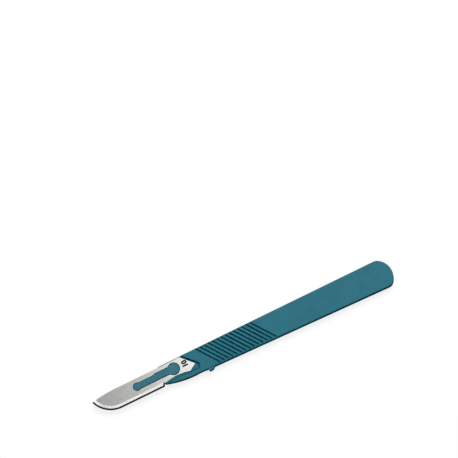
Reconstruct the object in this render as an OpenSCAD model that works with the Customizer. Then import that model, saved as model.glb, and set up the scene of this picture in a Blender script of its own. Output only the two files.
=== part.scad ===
// Disposable scalpel: a moulded plastic handle with a fixed steel blade.
// It lies flat, with the blade's point at -X, the cutting edge towards -Y and its upper face at +Z.
// The origin is at the middle of its length and width, on the surface that it lies on.

/* [Overall] */
// Length from the blade's point to the tail
total_len = 120.6; // [105:0.1:160]
// Width across the tail
tail_w = 11; // [9:0.1:14]
// Width where the handle's shoulder starts
neck_w = 8.8; // [8.3:0.1:9.3]
// Thickness of the handle
handle_t = 3.6; // [2.8:0.1:5]

/* [Blade] */
// Length of the blade from its point to the end of its tang
blade_len = 40.5; // [34:0.1:46]
// Depth of the blade from its spine to its cutting edge
blade_w = 7.5; // [7.3:0.05:7.8]
// Thickness of the blade
blade_t = 0.4; // [0.3:0.01:0.6]
// Radius of the curved cutting edge
belly_r = 9.85; // [8.5:0.05:12]
// How far the point lies below the spine
tip_drop = 1; // [0.5:0.1:2]
// Length of the spine's curve behind the point
nose_len = 9.7; // [6:0.1:14]
// Width of the ground bevel
bevel_w = 1.15; // [0.6:0.05:1.5]
// Width of the honed facet along the cutting edge
hone_w = 0.42; // [0.2:0.02:0.6]
// Thickness that the bevel leaves for the honed facet
hone_t = 0.2; // [0.1:0.01:0.25]
// Thickness that is left at the cutting edge
edge_t = 0.03; // [0.02:0.01:0.1]

/* [Tang] */
// Length of the tang behind the heel of the cutting edge
tang_len = 13.9; // [13.5:0.1:15]
// Length of the step up at the heel
heel_len = 0.9; // [0.5:0.1:1.2]
// Height of that step: the tang is this much narrower than the blade
heel_step = 1.22; // [1:0.01:1.4]
// Share of the step's length that is ground like the edge
ground_share = 0.8; // [0.5:0.05:0.9]
// Depth of the hollow in the tang's lower edge
tang_hollow = 0.63; // [0.3:0.01:0.8]
// Straight land at each end of the hollow
hollow_land = 0.25; // [0.1:0.05:1]
// Depth at which the tang reaches furthest back
apex_depth = 4.6; // [4:0.05:5]
// How far the spine ends ahead of the tang's end
spine_cut = 4.4; // [3.5:0.1:5]
// How far the lower corner lies ahead of the tang's end
corner_cut = 2.76; // [2:0.01:3.5]

/* [Keyhole slot] */
// Depth of the slot's centre line below the spine
slot_depth = 2.95; // [2.8:0.05:3.1]
// Distance from the tang's end to the wide end of the slot
slot_rear = 8; // [7.5:0.1:9]
// Distance between the slot's two round ends
slot_len = 15; // [13:0.1:17]
// Diameter of the wide end
slot_rear_d = 4.4; // [4:0.1:4.6]
// Diameter of the front end
slot_front_d = 2.8; // [2.5:0.1:3]
// Distance from the front end to the place where the slot widens
neck_len = 6.6; // [5:0.1:8]
// Length over which it widens
widen_len = 1.2; // [0.5:0.1:3]
// Reach above the centre line along the narrow part
neck_up = 1.05; // [0.8:0.05:1.2]
// Reach above the centre line along the wider part
shank_up = 1.45; // [1.3:0.05:1.6]
// Reach below the centre line
shank_down = 1.15; // [1:0.05:1.3]
// Lean of the lower flank where it runs into the wide end, in degrees
flank_lean = 20; // [10:1:40]

/* [Boss that holds the blade] */
// Clearance between the boss and the slot
slot_gap = 0.08; // [0.04:0.01:0.15]
// Overlap of the boss's head on the blade
head_lip = 0.15; // [0.1:0.01:0.25]
// Thickness of the head
head_t = 0.35; // [0.2:0.05:0.45]
// Clearance between the head and the blade
head_gap = 0.02; // [0.01:0.01:0.05]

/* [Tongue and seat] */
// Thickness of the tongue that carries the blade
tongue_t = 1.8; // [1.4:0.1:2]
// Half width of the tongue's nose round the slot's front end
nose_r = 2.3; // [1.8:0.1:2.6]
// Length of the slope under the nose
nose_slope = 3.5; // [1:0.1:4]
// How far the spine lies inside the handle's upper edge
spine_inset = 0.3; // [0:0.05:0.4]
// Gap behind the tang
seat_gap = 0.58; // [0.3:0.01:0.8]
// Gap below the tang
finger_gap = 0.35; // [0.2:0.01:0.5]
// Radius of the seat's rear corner
seat_r = 1.05; // [0.5:0.05:1.5]

/* [Handle outline] */
// Radius of the rounded long edges
edge_r = 0.4; // [0.2:0.05:0.8]
// Radius of the finger's lower edge
finger_r = 37; // [30:0.5:45]
// How far the lowest place of the finger's edge lies ahead of the tang's end
finger_low = 2; // [0:0.1:3]
// How far the handle's full width starts ahead of the heel's step
front_lead = 0.1; // [0:0.05:0.3]
// Radius of the curved tail
tail_r = 6.4; // [5.8:0.1:8]
// Offset of the tail's curve towards the cutting side
tail_shift = 0.5; // [0:0.1:1]
// Radius that softens the tail's two corners
corner_r = 2.6; // [0.5:0.1:3]

/* [Stop nib] */
// Distance from the tang's end to the nib
nib_x = 3.6; // [3:0.1:6]
// Length of the nib along its foot
nib_len = 2.5; // [2:0.1:4]
// Length of the nib along its tip
nib_tip = 1.5; // [1:0.1:2]
// How far the nib stands out
nib_h = 0.8; // [0.4:0.05:0.85]
// How far the nib's faces lie below those of the handle
nib_step = 0.15; // [0.05:0.05:0.3]
// Depth of the shallow hollow between the finger and the nib
hollow_depth = 0.2; // [0.05:0.01:0.3]

/* [Grip grooves] */
// Number of grooves on each face
groove_n = 14; // [6:1:18]
// Spacing of the grooves
groove_pitch = 1.724; // [1.4:0.001:2]
// Width of a groove
groove_w = 0.56; // [0.3:0.02:0.9]
// Depth of a groove
groove_depth = 0.6; // [0.2:0.02:0.8]
// Lean of the grooves away from square, in degrees
groove_lean = 37; // [0:1:45]
// Distance from the tang's end to the first groove, on the centre line
groove_start = 5.6; // [5:0.1:12]
// Distance left between the grooves and the lower edge
groove_end = 0.55; // [0.3:0.05:2]

/* [Hidden] */

$fn = 96;
// Overlap that lets a cut run past a face
over = 1;
// Distance that takes the open sides of the seat clear of the handle
clear = 4;

tip_x = -total_len / 2;
tail_x = total_len / 2;
tang_x = tip_x + blade_len;

// The handle widens evenly from the shoulder to the tail
shoulder_x = tang_x - spine_cut;
taper = atan((tail_w - neck_w) / 2 / (tail_x - shoulder_x));
function half_w(x) = neck_w / 2 + (x - shoulder_x) * tan(taper);

tongue_z = (handle_t - tongue_t) / 2;
seat_z = tongue_z + tongue_t;
blade_z = seat_z;
head_z = blade_z + blade_t + head_gap;

// Places in the blade's own plane, where x runs back from the point and the spine is at y = 0
heel_x = blade_len - tang_len;
tang_w = blade_w - heel_step;
belly_x = sqrt(pow(belly_r, 2) - pow(belly_r - blade_w + tip_drop, 2));
nose_arc_r = (pow(nose_len, 2) + pow(tip_drop, 2)) / 2 / tip_drop;
hollow_from = heel_x + heel_len;
hollow_to = blade_len - corner_cut;
hollow_half = (hollow_to - hollow_from) / 2 - hollow_land;
hollow_r = (pow(hollow_half, 2) + pow(tang_hollow, 2)) / 2 / tang_hollow;
front_x = blade_len - slot_rear - slot_len;

// Puts a shape from the blade's own plane at its place on the handle: the spine
// runs beside the handle's upper edge, and the tang's end comes to tang_x
module on_blade_line()
    translate([tang_x, half_w(tang_x) - spine_inset, 0])
        rotate([0, 0, taper])
            translate([-blade_len, 0, 0])
                children();

// A plate with rounded edges, from a flat outline that bulges outwards everywhere
module soft_plate(thickness, radius, steps = 4)
    hull()
        for (i = [0 : steps]) {
            a = 90 * i / steps;
            translate([0, 0, radius * (1 - sin(a))])
                linear_extrude(thickness - 2 * radius * (1 - sin(a)))
                    offset(delta = -radius * (1 - cos(a)))
                        children();
        }

// Outline of the handle between two places along it, before its ends are shaped
module handle_strip(from, to)
    polygon([
        [from, -half_w(from)], [to, -half_w(to)],
        [to, half_w(to)], [from, half_w(from)]
    ]);

// Front of the handle: the shoulder, the seat's floor and the finger below the tang
module front_outline() {
    low_x = tang_x - finger_low;
    intersection() {
        handle_strip(tang_x - tang_len + heel_len - front_lead, tang_x + nib_x + 2 * nib_len);
        translate([low_x, finger_r - half_w(low_x)]) circle(finger_r, $fn = 240);
    }
}

// Rear of the handle, from the nib to the curved tail
module rear_outline() {
    handle_strip(tang_x + nib_x, tail_x - 2 * tail_r);
    offset(r = corner_r)
        offset(delta = -corner_r)
            intersection() {
                handle_strip(tail_x - 3 * tail_r, tail_x + over);
                union() {
                    translate([tail_x - tail_r, -tail_shift]) circle(tail_r);
                    translate([tail_x - 4 * tail_r, -tail_w]) square([3 * tail_r, 2 * tail_w]);
                }
            }
}

// Small stop on the lower edge, in front of the grip
module nib_outline() {
    foot_y = -half_w(tang_x + nib_x);
    root_y = foot_y + 3 * edge_r;
    translate([tang_x + nib_x, 0])
        polygon([
            [0, root_y], [0, foot_y - nib_h],
            [nib_tip, foot_y - nib_h], [nib_len, foot_y], [nib_len, root_y]
        ]);
}

// Shallow hollow in the lower edge, from the finger's lowest place to the nib
module finger_hollow() {
    length = finger_low + nib_x;
    radius = (pow(length, 2) / 4 + pow(hollow_depth, 2)) / 2 / hollow_depth;
    middle = tang_x - finger_low + length / 2;
    translate([middle, -half_w(middle) + hollow_depth - radius, -over])
        cylinder(h = handle_t + 2 * over, r = radius);
}

// Keyhole shape of the slot and the boss, made larger all round by grow
module keyhole(grow = 0) {
    wide_r = slot_rear_d / 2 + grow;
    translate([front_x, -slot_depth]) {
        circle(slot_front_d / 2 + grow);
        translate([slot_len, 0]) circle(wide_r);
        polygon([
            [0, -shank_down - grow],
            [slot_len - slot_rear_d / 2, -shank_down - grow],
            [slot_len - wide_r * sin(flank_lean), -wide_r * cos(flank_lean)],
            [slot_len, shank_up + grow],
            [neck_len + widen_len, shank_up + grow],
            [neck_len, neck_up + grow],
            [0, neck_up + grow]
        ]);
    }
}

// Outline of the pocket round the tang, with a rounded rear corner
module seat_outline() {
    lean = atan(spine_cut / apex_depth);
    wall_x = blade_len - spine_cut + seat_gap / cos(lean);
    floor_y = -(tang_w + finger_gap);
    offset(r = seat_r)
        offset(delta = -seat_r)
            polygon([
                [heel_x - clear, clear],
                [wall_x - clear * tan(lean), clear],
                [wall_x - floor_y * tan(lean), floor_y],
                [heel_x - clear, floor_y]
            ]);
}

// Tongue under the blade, thinned by a slope below its nose
module tongue()
    on_blade_line()
        difference() {
            translate([0, 0, tongue_z]) linear_extrude(tongue_t) {
                translate([front_x, -slot_depth]) circle(nose_r);
                translate([front_x, -slot_depth - nose_r])
                    square([blade_len - front_x - spine_cut, 2 * nose_r]);
            }
            translate([front_x - nose_r - over, 0, tongue_z])
                rotate([90, 0, 0])
                    linear_extrude(4 * nose_r, center = true)
                        polygon([
                            [0, -over], [over + nose_slope, -over],
                            [over + nose_slope, 0], [0, tongue_t / 2]
                        ]);
        }

// Boss through the blade's slot, with a head spread over the slot's rim
module boss()
    on_blade_line() {
        translate([0, 0, seat_z - over / 2])
            linear_extrude(over / 2 + blade_t + head_gap + head_t)
                keyhole(-slot_gap);
        translate([0, 0, head_z])
            linear_extrude(head_t)
                keyhole(head_lip);
    }

// One groove across a face, open at the upper edge
module groove(x) {
    lower_x = x + half_w(x) * tan(groove_lean);
    reach = (half_w(lower_x) - groove_end) / cos(groove_lean);
    translate([x, 0, handle_t])
        rotate([0, 0, groove_lean])
            rotate([90, 0, 0])
                translate([0, 0, -tail_w])
                    linear_extrude(tail_w + reach)
                        polygon([
                            [-groove_w, groove_depth], [groove_w, groove_depth],
                            [0, -groove_depth]
                        ]);
}

module grooves()
    for (i = [0 : groove_n - 1])
        groove(tang_x + groove_start + i * groove_pitch);

// Makes a cut in the upper face and the same one in the lower face
module both_faces() {
    children();
    translate([0, 0, handle_t]) mirror([0, 0, 1]) children();
}

// Moulded handle: one piece from the tongue's nose to the tail
module handle()
    color([0.2, 0.45, 0.51]) {
        difference() {
            union() {
                difference() {
                    soft_plate(handle_t, edge_r) {
                        front_outline();
                        rear_outline($fn = 48);
                    }
                    finger_hollow();
                }
                translate([0, 0, nib_step]) linear_extrude(handle_t - 2 * nib_step) nib_outline();
            }
            both_faces() {
                translate([0, 0, seat_z])
                    on_blade_line() linear_extrude(handle_t) seat_outline();
                grooves();
            }
        }
        tongue();
        boss();
    }

// Section of the ground strip, from its inner side at x = 0 to the cutting edge at x = width
module ground_profile(width) {
    hone_x = width - hone_w;
    polygon([
        [0, 0], [hone_x - bevel_w, 0],
        [hone_x, (blade_t - hone_t) / 2], [width, (blade_t - edge_t) / 2],
        [width, (blade_t + edge_t) / 2], [hone_x, (blade_t + hone_t) / 2],
        [hone_x - bevel_w, blade_t], [0, blade_t]
    ]);
}

// Straight stretch of the cutting edge, from the belly at x = 0 to behind the heel
module straight_edge()
    translate([0, over, blade_t])
        rotate([0, 90, 0])
            rotate([0, 0, -90])
                linear_extrude(hollow_from + over - belly_x)
                    ground_profile(blade_w + over);

// Round stretch: a disc that is ground all round, of which the front part is kept
module belly()
    intersection() {
        translate([0, belly_r - blade_w, 0])
            rotate_extrude() ground_profile(belly_r);
        translate([-belly_r - over, -blade_w - over, -over])
            cube([belly_r + over, blade_w + 2 * over, blade_t + 2 * over]);
    }

// Full thickness behind the heel, where nothing is ground
module tang_plate()
    translate([heel_x + ground_share * heel_len, -blade_w, 0])
        cube([blade_len, blade_w + over, blade_t]);

// Outline of the blade as it is stamped: spine, slanted end, hollow and heel
module blade_plan()
    difference() {
        polygon([
            [-over, 0], [blade_len - spine_cut, 0], [blade_len, -apex_depth],
            [hollow_to, -tang_w], [hollow_from, -tang_w],
            [hollow_from - 2 * heel_len, -tang_w - 2 * heel_step],
            [-over, -tang_w - 2 * heel_step]
        ]);
        translate([(hollow_from + hollow_to) / 2, -tang_w + tang_hollow - hollow_r]) circle(hollow_r);
        difference() {
            translate([-2 * over, -tip_drop - over]) square([nose_len + 2 * over, tip_drop + 2 * over]);
            translate([nose_len, -nose_arc_r]) circle(nose_arc_r);
        }
        keyhole();
    }

// Stainless blade with a curved edge, a keyhole slot and a slanted tang
module blade()
    color([0.75, 0.76, 0.75])
        translate([0, 0, blade_z]) on_blade_line()
            intersection() {
                union() {
                    translate([belly_x, 0, 0]) {
                        belly();
                        straight_edge();
                    }
                    tang_plate();
                }
                translate([0, 0, -over]) linear_extrude(blade_t + 2 * over) blade_plan();
            }

handle();
blade();
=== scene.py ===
"""Looks of the disposable scalpel: a moulded plastic handle and a stamped and ground steel blade."""
import math

import bpy
from mathutils import Matrix, Vector


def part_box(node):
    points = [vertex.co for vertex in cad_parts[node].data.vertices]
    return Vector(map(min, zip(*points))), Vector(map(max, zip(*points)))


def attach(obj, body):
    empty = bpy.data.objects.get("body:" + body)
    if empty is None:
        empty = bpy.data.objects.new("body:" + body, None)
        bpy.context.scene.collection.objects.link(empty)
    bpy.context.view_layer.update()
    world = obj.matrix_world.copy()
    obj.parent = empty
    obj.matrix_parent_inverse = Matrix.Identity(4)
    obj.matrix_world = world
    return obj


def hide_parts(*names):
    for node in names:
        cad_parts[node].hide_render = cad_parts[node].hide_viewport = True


MM = 0.001

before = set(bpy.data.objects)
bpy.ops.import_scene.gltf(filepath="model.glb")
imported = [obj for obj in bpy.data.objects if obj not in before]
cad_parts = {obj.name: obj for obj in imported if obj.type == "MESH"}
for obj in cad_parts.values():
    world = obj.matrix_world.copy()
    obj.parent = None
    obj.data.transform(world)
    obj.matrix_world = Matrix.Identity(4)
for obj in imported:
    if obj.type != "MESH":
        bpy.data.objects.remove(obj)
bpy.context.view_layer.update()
HANDLE_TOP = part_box("handle")[1].z
BLADE_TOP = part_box("blade")[1].z

# Camera: the photograph's frame, in its pixels, and how the scalpel lies in it
IMAGE_SIDE = 458
PIXEL = 0.37 * MM
ROLL = math.radians(25.27)
TILT = math.radians(10)
AIM = Vector((12.6 * MM, 39.44 * MM, HANDLE_TOP))
CAMERA_DISTANCE = 1.2
SENSOR = 36

# The blade's own line, in millimetres: its spine climbs by this angle towards the tail,
# and the tang's end lies at this place, this far behind the point
BLADE_TURN = math.radians(0.746)
TANG_END = Vector((-19.8, 4.157))
BLADE_LENGTH = 40.5

# The cutting edge in the blade's own plane, in millimetres: depth below the spine, radius
# and end of its round stretch, foot and rise of the heel's step, and the honed facet's width
BLADE_DEPTH = 7.5
BELLY_RADIUS = 9.85
BELLY_END = 9.262
HEEL_FOOT = 26.6
HEEL_RISE = Vector((0.9, 1.22))
HONED_WIDTH = 0.42

# How far past the honed facet the painted shade on the bevel starts to fade, and where it ends
PAINTED_SHADE_START = 0.14
PAINTED_SHADE_END = 0.36

# Slopes of the two facets that are ground along the cutting edge
BEVEL_SLOPE = math.radians(5)
HONED_SLOPE = math.radians(11.4)

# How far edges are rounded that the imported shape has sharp
HANDLE_EDGE = 0.07 * MM
BLADE_EDGE = 0.015 * MM

# Top of the boss that holds the blade, how far the rims of the boss and of the seat are
# rounded, and a place behind the seat's rear corner
BOSS_TOP = BLADE_TOP + 0.37 * MM
BOSS_RIM = 0.26 * MM
SEAT_RIM = 0.22 * MM
BEHIND_SEAT = -18.1 * MM

# Distances under which two corners are one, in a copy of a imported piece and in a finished
# piece, and under which an edge or a face lies at a height
CAD_SEAM = 0.0004 * MM
SEAM = 0.0001 * MM
SAME_HEIGHT = 0.001 * MM

# Angle under which two faces belong to one curve
CURVE_ANGLE = math.radians(35)

# Material slots of the handle and of the blade
FACES, WALLS, RIMS, PRESSED = range(4)
FLATS, BEVEL, HONED, CUT = range(4)


class Wire:
    """A shader socket that is written with as a number is."""

    def __init__(self, finish, socket):
        self.finish = finish
        self.socket = socket

    def math(self, operation, first, second):
        return self.finish.node("ShaderNodeMath", {"operation": operation}, {0: first, 1: second})

    def __add__(self, other):
        return self.math("ADD", self, other)

    def __radd__(self, other):
        return self.math("ADD", other, self)

    def __sub__(self, other):
        return self.math("SUBTRACT", self, other)

    def __rsub__(self, other):
        return self.math("SUBTRACT", other, self)

    def __mul__(self, other):
        return self.math("MULTIPLY", self, other)

    def __rmul__(self, other):
        return self.math("MULTIPLY", other, self)


class Finish:
    """One material, or the world, and the nodes that make it."""

    def __init__(self, owner):
        owner.use_nodes = True
        self.owner = owner
        self.tree = owner.node_tree
        self.tree.nodes.clear()

    def node(self, kind, settings=None, inputs=None, output=0):
        made = self.tree.nodes.new(kind)
        for name, value in (settings or {}).items():
            setattr(made, name, value)
        for name, value in (inputs or {}).items():
            if isinstance(value, Wire):
                self.tree.links.new(value.socket, made.inputs[name])
            else:
                made.inputs[name].default_value = value
        return Wire(self, made.outputs[output])

    def place(self, stretch=(1, 1, 1)):
        """Object coordinates in millimetres, on which a pattern is stretched along each axis."""
        spot = self.node("ShaderNodeTexCoord", output="Object")
        scale = [1 / MM / s for s in stretch]
        return self.node("ShaderNodeMapping", inputs={"Vector": spot, "Scale": scale})

    def split(self, vector):
        """The X and Y of a vector."""
        return [self.node("ShaderNodeSeparateXYZ", inputs={"Vector": vector}, output=n) for n in "XY"]

    def least(self, first, second):
        return self.node("ShaderNodeMath", {"operation": "MINIMUM"}, {0: first, 1: second})

    def noise(self, place, size, detail=2, roughness=0.5):
        """Soft random spots, size millimetres across, from 0 to 1."""
        return self.node(
            "ShaderNodeTexNoise",
            inputs={"Vector": place, "Scale": 1 / size, "Detail": detail, "Roughness": roughness},
            output="Fac",
        )

    def between(self, value, low, high, start=0.0, end=1.0):
        """start where value is low and end where it is high, with a soft step between them."""
        return self.node(
            "ShaderNodeMapRange",
            {"interpolation_type": "SMOOTHSTEP"},
            {"Value": value, "From Min": low, "From Max": high, "To Min": start, "To Max": end},
        )

    def mix(self, share, first, second):
        """A colour between two colours."""
        return self.node(
            "ShaderNodeMix",
            {"data_type": "RGBA"},
            {"Factor": share, 6: first, 7: second},
            output=2,
        )

    def relief(self, height, depth, under=None):
        """A bumped normal: height from 0 to 1 stands for depth millimetres."""
        inputs = {"Height": height, "Distance": depth * MM}
        if under:
            inputs["Normal"] = under
        return self.node("ShaderNodeBump", inputs=inputs, output="Normal")

    def surface(self, inputs):
        """Ends the material with one shader."""
        shader = self.node("ShaderNodeBsdfPrincipled", inputs=inputs)
        self.node_end("ShaderNodeOutputMaterial", shader)
        return self.owner

    def node_end(self, kind, shader):
        end = self.tree.nodes.new(kind)
        self.tree.links.new(shader.socket, end.inputs["Surface"])


def shade(red, green, blue):
    return (red, green, blue, 1)


def plastic_colour(finish, place, level):
    """Blue green that varies a little, as it flowed into the mould. A level under 1 is darker: painted
    shade, used on the walls and rims.
    """
    clouds = finish.noise(place, 5, detail=3)
    mottle = finish.noise(place, 0.8, detail=3, roughness=0.6)
    return finish.mix(
        clouds * 0.5 + mottle * 0.5,
        shade(0.001 * level, 0.100 * level, 0.147 * level),
        shade(0.011 * level, 0.191 * level, 0.265 * level),
    )


def moulded_plastic(name, gloss):
    """Faces of the handle: opaque plastic with the mould's fine grain and a sheen set by gloss."""
    finish = Finish(bpy.data.materials.new(name))
    place = finish.place()
    mottle = finish.noise(place, 0.8, detail=3, roughness=0.6)
    grain = finish.noise(place, 0.16, detail=2)
    sheen = finish.between(mottle * 0.5 + grain * 0.5, 0.3, 0.7, 0.42, 0.56)
    normal = finish.relief(finish.noise(place, 3.5, detail=1), 0.02)
    normal = finish.relief(grain, 0.006, normal)
    return finish.surface({
        "Base Color": plastic_colour(finish, place, 1),
        "Roughness": sheen,
        "Specular IOR Level": gloss,
        "Normal": normal,
    })


def drafted_plastic_painted_shade(name, level):
    """Walls and rims of the handle: duller, scuffed along the draw, with the mould's parting line, and a
    colour darkened by level as painted shade.
    """
    finish = Finish(bpy.data.materials.new(name))
    place = finish.place()
    drag = finish.noise(finish.place((1, 1, 8)), 0.14, detail=2)
    height = finish.node("ShaderNodeSeparateXYZ", inputs={"Vector": place}, output="Z")
    off_middle = finish.node(
        "ShaderNodeMath", {"operation": "ABSOLUTE"}, {0: height - HANDLE_TOP / MM / 2}
    )
    line = finish.between(off_middle, 0.03, 0.1, 1, 0)
    normal = finish.relief(line, 0.05)
    normal = finish.relief(drag, 0.008, normal)
    return finish.surface({
        "Base Color": plastic_colour(finish, place, level),
        "Roughness": finish.between(drag, 0.3, 0.7, 0.58, 0.72),
        "Specular IOR Level": 0.0,
        "Normal": normal,
    })


def satin_steel():
    """Flats of the blade: fine satin with a faint lengthwise grain."""
    finish = Finish(bpy.data.materials.new("satin_steel"))
    lines = finish.noise(finish.place((14, 1, 1)), 0.12, detail=3, roughness=0.6)
    patches = finish.noise(finish.place(), 1.6, detail=3)
    return finish.surface({
        "Base Color": finish.mix(
            lines * 0.5 + patches * 0.5,
            shade(0.56, 0.56, 0.545),
            shade(0.68, 0.68, 0.665),
        ),
        "Metallic": 1.0,
        "Roughness": finish.between(lines * 0.6 + patches * 0.4, 0.3, 0.7, 0.17, 0.23),
        "Normal": finish.relief(lines, 0.0006),
    })


def edge_distance(finish):
    """Distance from the cutting edge or the heel's step, in millimetres, on the blade's plane."""
    turned = Matrix.Rotation(-BLADE_TURN, 2) @ TANG_END
    own = finish.node(
        "ShaderNodeMapping",
        inputs={
            "Vector": finish.place(),
            "Rotation": (0, 0, -BLADE_TURN),
            "Location": (BLADE_LENGTH - turned.x, -turned.y, 0),
        },
    )
    back, up = finish.split(own)
    round_part = finish.node(
        "ShaderNodeCombineXYZ",
        inputs={"X": finish.least(back - BELLY_END, 0), "Y": up - (BELLY_RADIUS - BLADE_DEPTH), "Z": 0},
    )
    reach = finish.node(
        "ShaderNodeVectorMath", {"operation": "LENGTH"}, {0: round_part}, output="Value"
    )
    step = HEEL_RISE.normalized()
    from_heel = (up + BLADE_DEPTH) * step.x - (back - HEEL_FOOT) * step.y
    return finish.least(BELLY_RADIUS - reach, from_heel)


def ground_steel():
    """The bevel: bright, with the grinding wheel's marks across it, and painted near black at its lower
    side as shade along the cutting edge.
    """
    finish = Finish(bpy.data.materials.new("ground_steel"))
    marks = finish.noise(finish.place((1, 9, 9)), 0.09, detail=2, roughness=0.6)
    bright = finish.mix(marks, shade(0.74, 0.74, 0.73), shade(0.86, 0.86, 0.85))
    # Painted shade: the bevel's colour turns near black towards the honed facet, standing for the dark
    # line under the cutting edge
    edge_painted_shade = finish.between(edge_distance(finish), HONED_WIDTH + PAINTED_SHADE_START, HONED_WIDTH + PAINTED_SHADE_END, 1, 0)
    return finish.surface({
        "Base Color": finish.mix(edge_painted_shade, bright, shade(0.01, 0.01, 0.01)),
        "Metallic": 1.0,
        "Roughness": finish.between(marks, 0.3, 0.7, 0.16, 0.24),
        "Normal": finish.relief(marks, 0.0006),
    })


def honed_steel_painted_shade():
    """The narrow facet along the edge, coloured near black: painted shade that stands for the dark line
    under the cutting edge.
    """
    finish = Finish(bpy.data.materials.new("honed_steel_painted_shade"))
    marks = finish.noise(finish.place((1, 6, 6)), 0.06, detail=2, roughness=0.6)
    return finish.surface({
        # Near black colour: painted shade along the cutting edge
        "Base Color": finish.mix(marks, shade(0.004, 0.004, 0.004), shade(0.016, 0.016, 0.016)),
        "Metallic": 1.0,
        "Roughness": finish.between(marks, 0.3, 0.7, 0.16, 0.22),
        "Normal": finish.relief(marks, 0.0004),
    })


def sheared_steel():
    """Cut edges of the strip: a little darker and rougher than its faces."""
    finish = Finish(bpy.data.materials.new("sheared_steel"))
    scores = finish.noise(finish.place((1, 1, 6)), 0.1, detail=2)
    return finish.surface({
        "Base Color": finish.mix(scores, shade(0.3, 0.3, 0.29), shade(0.5, 0.5, 0.49)),
        "Metallic": 1.0,
        "Roughness": 0.42,
        "Normal": finish.relief(scores, 0.004),
    })


def printing_ink():
    """Black ink, printed on the tang."""
    finish = Finish(bpy.data.materials.new("printing_ink"))
    spots = finish.noise(finish.place(), 0.12, detail=3)
    return finish.surface({
        "Base Color": finish.mix(spots, shade(0.004, 0.004, 0.005), shade(0.014, 0.014, 0.015)),
        "Roughness": finish.between(spots, 0.3, 0.7, 0.5, 0.7),
        "Specular IOR Level": 0.2,
    })


def merged_copy(node, name):
    """A CAD node's shape as one closed mesh whose flat faces are whole."""
    flat_angle = math.radians(0.1)
    piece = bpy.data.objects.new(name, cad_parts[node].data.copy())
    bpy.context.scene.collection.objects.link(piece)
    piece.data.materials.clear()
    bpy.ops.object.select_all(action="DESELECT")
    piece.select_set(True)
    bpy.context.view_layer.objects.active = piece
    bpy.ops.object.mode_set(mode="EDIT")
    bpy.ops.mesh.select_all(action="SELECT")
    bpy.ops.mesh.customdata_custom_splitnormals_clear()
    bpy.ops.mesh.remove_doubles(threshold=CAD_SEAM)
    bpy.ops.mesh.dissolve_limited(angle_limit=flat_angle)
    bpy.ops.object.mode_set(mode="OBJECT")
    return piece


def square_up_heel(blade):
    """Takes the heel's step back to a straight short slope, at the full length of the edge."""
    nearly = 0.01
    straight_from = BELLY_END + 1
    top = -BLADE_DEPTH + HEEL_RISE.y
    to_own = Matrix.Translation((BLADE_LENGTH * MM, 0, 0)) @ Matrix.Rotation(-BLADE_TURN, 4, "Z")
    to_own = to_own @ Matrix.Translation((-TANG_END.x * MM, -TANG_END.y * MM, 0))
    from_own = to_own.inverted()
    for vertex in blade.data.vertices:
        place = to_own @ vertex.co
        back, up = place.x / MM, place.y / MM
        if straight_from < back < HEEL_FOOT + HEEL_RISE.x + nearly and up < top - nearly:
            place.x = (HEEL_FOOT + (up + BLADE_DEPTH) * HEEL_RISE.x / HEEL_RISE.y) * MM
            vertex.co = from_own @ place


def lies_at(places, height):
    """Whether all the places are at one height and ahead of the seat's rear corner."""
    return all(abs(place.z - height) < SAME_HEIGHT and place.x < BEHIND_SEAT for place in places)


def round_rim(handle, height, width):
    """Rounds the rims over upright walls at one height, ahead of the grip, and paints them dark as a
    painted shadow line.
    """
    upright = 0.1
    level = 0.999
    mesh = handle.data
    slopes = {}
    for face in mesh.polygons:
        for key in face.edge_keys:
            slopes.setdefault(key, []).append(abs(face.normal.z))
    bpy.ops.object.mode_set(mode="EDIT")
    bpy.ops.mesh.select_mode(type="EDGE")
    bpy.ops.mesh.select_all(action="DESELECT")
    bpy.ops.object.mode_set(mode="OBJECT")
    for edge in mesh.edges:
        ends = [mesh.vertices[i].co for i in edge.vertices]
        edge.select = lies_at(ends, height) and min(slopes[edge.key]) < upright
    bpy.ops.object.mode_set(mode="EDIT")
    bpy.ops.mesh.bevel(offset=width, segments=3, affect="EDGES")
    bpy.ops.object.mode_set(mode="OBJECT")
    for face in mesh.polygons:
        if face.select and abs(face.normal.z) < level:
            face.material_index = RIMS


def close_seams():
    """Joins doubled corners of the active piece and turns all its faces outward."""
    bpy.ops.object.mode_set(mode="EDIT")
    bpy.ops.mesh.select_all(action="SELECT")
    bpy.ops.mesh.remove_doubles(threshold=SEAM)
    bpy.ops.mesh.normals_make_consistent(inside=False)
    bpy.ops.object.mode_set(mode="OBJECT")


def soften(piece, width, sharp):
    """Rounds the edges that turn by more than sharp degrees."""
    bevel = piece.modifiers.new("soft_edges", "BEVEL")
    bevel.width = width
    bevel.segments = 2
    bevel.limit_method = "ANGLE"
    bevel.angle_limit = math.radians(sharp)
    bpy.ops.object.modifier_apply(modifier=bevel.name)
    close_seams()


def paint_faces(piece, old, new, least, most):
    """Moves faces whose normal's height lies in a range from one material slot to another."""
    for face in piece.data.polygons:
        if face.material_index == old and least <= abs(face.normal.z) < most:
            face.material_index = new


def smooth(piece, crisp_slots=False):
    """Shades flats flat and curves smooth. crisp_slots keeps a line where two finishes meet."""
    bpy.ops.object.shade_smooth_by_angle(angle=CURVE_ANGLE)
    if crisp_slots:
        slots = {}
        for face in piece.data.polygons:
            for key in face.edge_keys:
                slots.setdefault(key, set()).add(face.material_index)
        for edge in piece.data.edges:
            if len(slots[edge.key]) > 1:
                edge.use_edge_sharp = True
    even = piece.modifiers.new("even_shading", "WEIGHTED_NORMAL")
    even.keep_sharp = True
    bpy.ops.object.modifier_apply(modifier=even.name)


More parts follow.
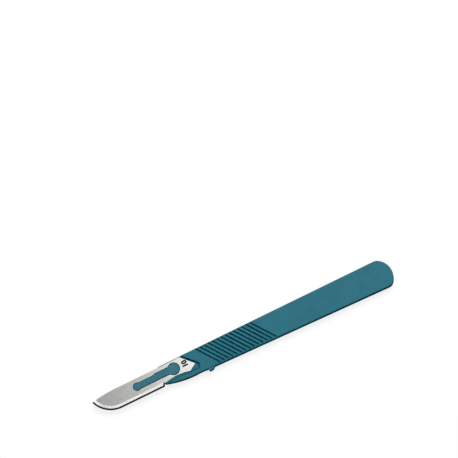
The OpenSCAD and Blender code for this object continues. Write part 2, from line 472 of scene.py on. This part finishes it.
def make_handle():
    """The moulding: faces; walls, and rims round the boss and the seat, darkened as painted shade; and the
    boss's top.
    """
    sharp_angle = 32
    steepest_face = 0.75
    handle = merged_copy("handle", "handle_moulding")
    handle.data.materials.append(moulded_plastic("moulded_plastic", 0.25))
    # Walls and rims take darker copies of the plastic's colour: painted shade
    handle.data.materials.append(drafted_plastic_painted_shade("drafted_plastic_painted_shade", 0.6))
    # The rims' near black copy is a painted shadow line round the boss and the seat
    handle.data.materials.append(drafted_plastic_painted_shade("rim_plastic_painted_shade", 0.15))
    handle.data.materials.append(moulded_plastic("pressed_plastic", 0.38))
    round_rim(handle, BOSS_TOP, BOSS_RIM)
    round_rim(handle, HANDLE_TOP, SEAT_RIM)
    soften(handle, HANDLE_EDGE, sharp_angle)
    paint_faces(handle, FACES, WALLS, 0, steepest_face)
    for face in handle.data.polygons:
        if lies_at([face.center], BOSS_TOP):
            face.material_index = PRESSED
    smooth(handle)
    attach(handle, "root")
    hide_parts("handle")


def make_blade():
    """The blade: flats, bevel, honed facet and cut edges, told apart by their slopes."""
    sharp_angle = 40
    flat_least = 0.9999
    blade = merged_copy("blade", "blade_plate")
    square_up_heel(blade)
    soften(blade, BLADE_EDGE, sharp_angle)
    for material in (satin_steel(), ground_steel(), honed_steel_painted_shade(), sheared_steel()):
        blade.data.materials.append(material)
    bevel_least = math.cos((BEVEL_SLOPE + HONED_SLOPE) / 2)
    honed_least = math.cos(HONED_SLOPE * 1.3)
    paint_faces(blade, FLATS, BEVEL, bevel_least, flat_least)
    paint_faces(blade, FLATS, HONED, honed_least, bevel_least)
    paint_faces(blade, FLATS, CUT, 0, honed_least)
    smooth(blade, crisp_slots=True)
    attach(blade, "root")
    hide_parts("blade")


def make_size_mark():
    """The blade's pattern number, printed across the tang."""
    height = 1.88 * MM
    height_share = 0.73
    stroke_growth = 0.19 * MM
    thickness = 0.006 * MM
    middle = Matrix.Translation((-23.27 * MM, 1.1 * MM, BLADE_TOP))
    turn = Matrix.Rotation(math.pi / 2 + BLADE_TURN, 4, "Z")
    bpy.ops.object.select_all(action="DESELECT")
    bpy.ops.object.text_add()
    mark = bpy.context.object
    mark.name = "size_mark"
    mark.data.body = "10"
    mark.data.align_x = "CENTER"
    mark.data.align_y = "CENTER"
    mark.data.size = height / height_share
    mark.data.offset = stroke_growth
    mark.data.extrude = thickness
    bpy.ops.object.convert(target="MESH")
    close_seams()
    mark.data.transform(middle @ turn)
    mark.data.materials.append(printing_ink())
    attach(mark, "root")


def white_table():
    """Shows white, also in reflections, and takes the shadow."""
    glow = 0.82
    finish = Finish(bpy.data.materials.new("white_table"))
    seen = (
        finish.node("ShaderNodeLightPath", output="Is Camera Ray")
        + finish.node("ShaderNodeLightPath", output="Is Glossy Ray")
        + finish.node("ShaderNodeLightPath", output="Is Transmission Ray")
    )
    matt = finish.node("ShaderNodeBsdfDiffuse", inputs={"Color": shade(0.2, 0.2, 0.2)})
    white = finish.node("ShaderNodeEmission", inputs={"Strength": seen * glow})
    finish.node_end(
        "ShaderNodeOutputMaterial", finish.node("ShaderNodeAddShader", inputs={0: matt, 1: white})
    )
    return finish.owner


def make_table():
    """A plain white table, and a white wall round it that the low views show."""
    white = white_table()
    floor_z = -0.02 * MM
    floor_side = 6
    wall_radius = 2.6
    wall_height = 0.6
    bpy.ops.object.select_all(action="DESELECT")
    bpy.ops.mesh.primitive_plane_add(size=floor_side, location=(0, 0, floor_z))
    bpy.context.object.name = "table"
    bpy.ops.object.select_all(action="DESELECT")
    bpy.ops.mesh.primitive_cylinder_add(
        vertices=96,
        radius=wall_radius,
        depth=wall_height,
        end_fill_type="NOTHING",
        location=(0, 0, floor_z + wall_height / 2),
    )
    bpy.context.object.name = "round_wall"
    for name in ("table", "round_wall"):
        stand = bpy.data.objects[name]
        stand.select_set(True)
        bpy.context.view_layer.objects.active = stand
        bpy.ops.object.transform_apply(location=True)
        stand.data.materials.append(white)
        stand.select_set(False)


def make_world():
    """A room that is dim overhead, lighter round the sides, and a little lighter at the back."""
    world = bpy.data.worlds.new("room")
    bpy.context.scene.world = world
    finish = Finish(world)
    way = finish.node("ShaderNodeTexCoord", output="Generated")
    up = finish.node("ShaderNodeSeparateXYZ", inputs={"Vector": way}, output="Z")
    back = finish.node("ShaderNodeSeparateXYZ", inputs={"Vector": way}, output="Y")
    level = finish.between(up, 0.25, 0.85, 0.6, 0.08) + finish.between(back, 0.25, 0.85, 0, 0.15)
    light = finish.node("ShaderNodeBackground", inputs={"Strength": level})
    finish.node_end("ShaderNodeOutputWorld", light)


def add_panel(name, middle, width, depth, brightness, look_at=None):
    """A soft panel light. brightness is how light its face is, where 1 is white."""
    data = bpy.data.lights.new(name, "AREA")
    data.shape = "RECTANGLE"
    data.size = width
    data.size_y = depth
    data.energy = brightness * math.pi * width * depth
    panel = bpy.data.objects.new(name, data)
    bpy.context.scene.collection.objects.link(panel)
    panel.location = middle
    target = look_at or Vector((middle.x, middle.y, 0))
    panel.rotation_euler = (target - middle).to_track_quat("-Z", "Y").to_euler()
    panel.visible_camera = False


def make_lights():
    """A key light from the tail's side, and low panels that the blade mirrors."""
    key_distance = 1.2
    key_way = Vector((0.36, 0.36, 0.86)).normalized()
    key_side = 0.65
    add_panel("key_light", key_way * key_distance, key_side, key_side, 9.3, Vector((0, 0, 0)))
    low = 0.2
    add_panel("front_panel", Vector((-0.0785, 0.03, low)), 0.033, 0.04, 0.36)
    add_panel("middle_panel", Vector((-0.0485, 0.03, low)), 0.027, 0.04, 0.6)
    add_panel("tang_panel", Vector((-0.0215, 0.03, low)), 0.027, 0.04, 1.75)
    add_panel("edge_panel", Vector((-0.06, -0.014, low)), 0.08, 0.028, 1.35)
    add_panel("tip_panel", Vector((-0.122, 0.012, low)), 0.044, 0.048, 1.9)


def make_camera():
    """Looks down at the scalpel, turned so that the tail points to the upper right."""
    across = Vector((1, 0, 0))
    back = Vector((0, -math.sin(TILT), math.cos(TILT)))
    level_up = back.cross(across)
    right = across * math.cos(ROLL) - level_up * math.sin(ROLL)
    up = across * math.sin(ROLL) + level_up * math.cos(ROLL)
    data = bpy.data.cameras.new("camera")
    data.sensor_width = SENSOR
    data.lens = SENSOR * CAMERA_DISTANCE / (IMAGE_SIDE * PIXEL)
    data.clip_start = 0.05
    data.clip_end = 20
    camera = bpy.data.objects.new("camera", data)
    bpy.context.scene.collection.objects.link(camera)
    turn = Matrix((right, up, back)).transposed().to_4x4()
    camera.matrix_world = Matrix.Translation(AIM + back * CAMERA_DISTANCE) @ turn
    bpy.context.scene.camera = camera


make_camera()
make_handle()
make_blade()
make_size_mark()
make_table()
make_world()
make_lights()
bpy.context.scene.view_settings.view_transform = "Standard"
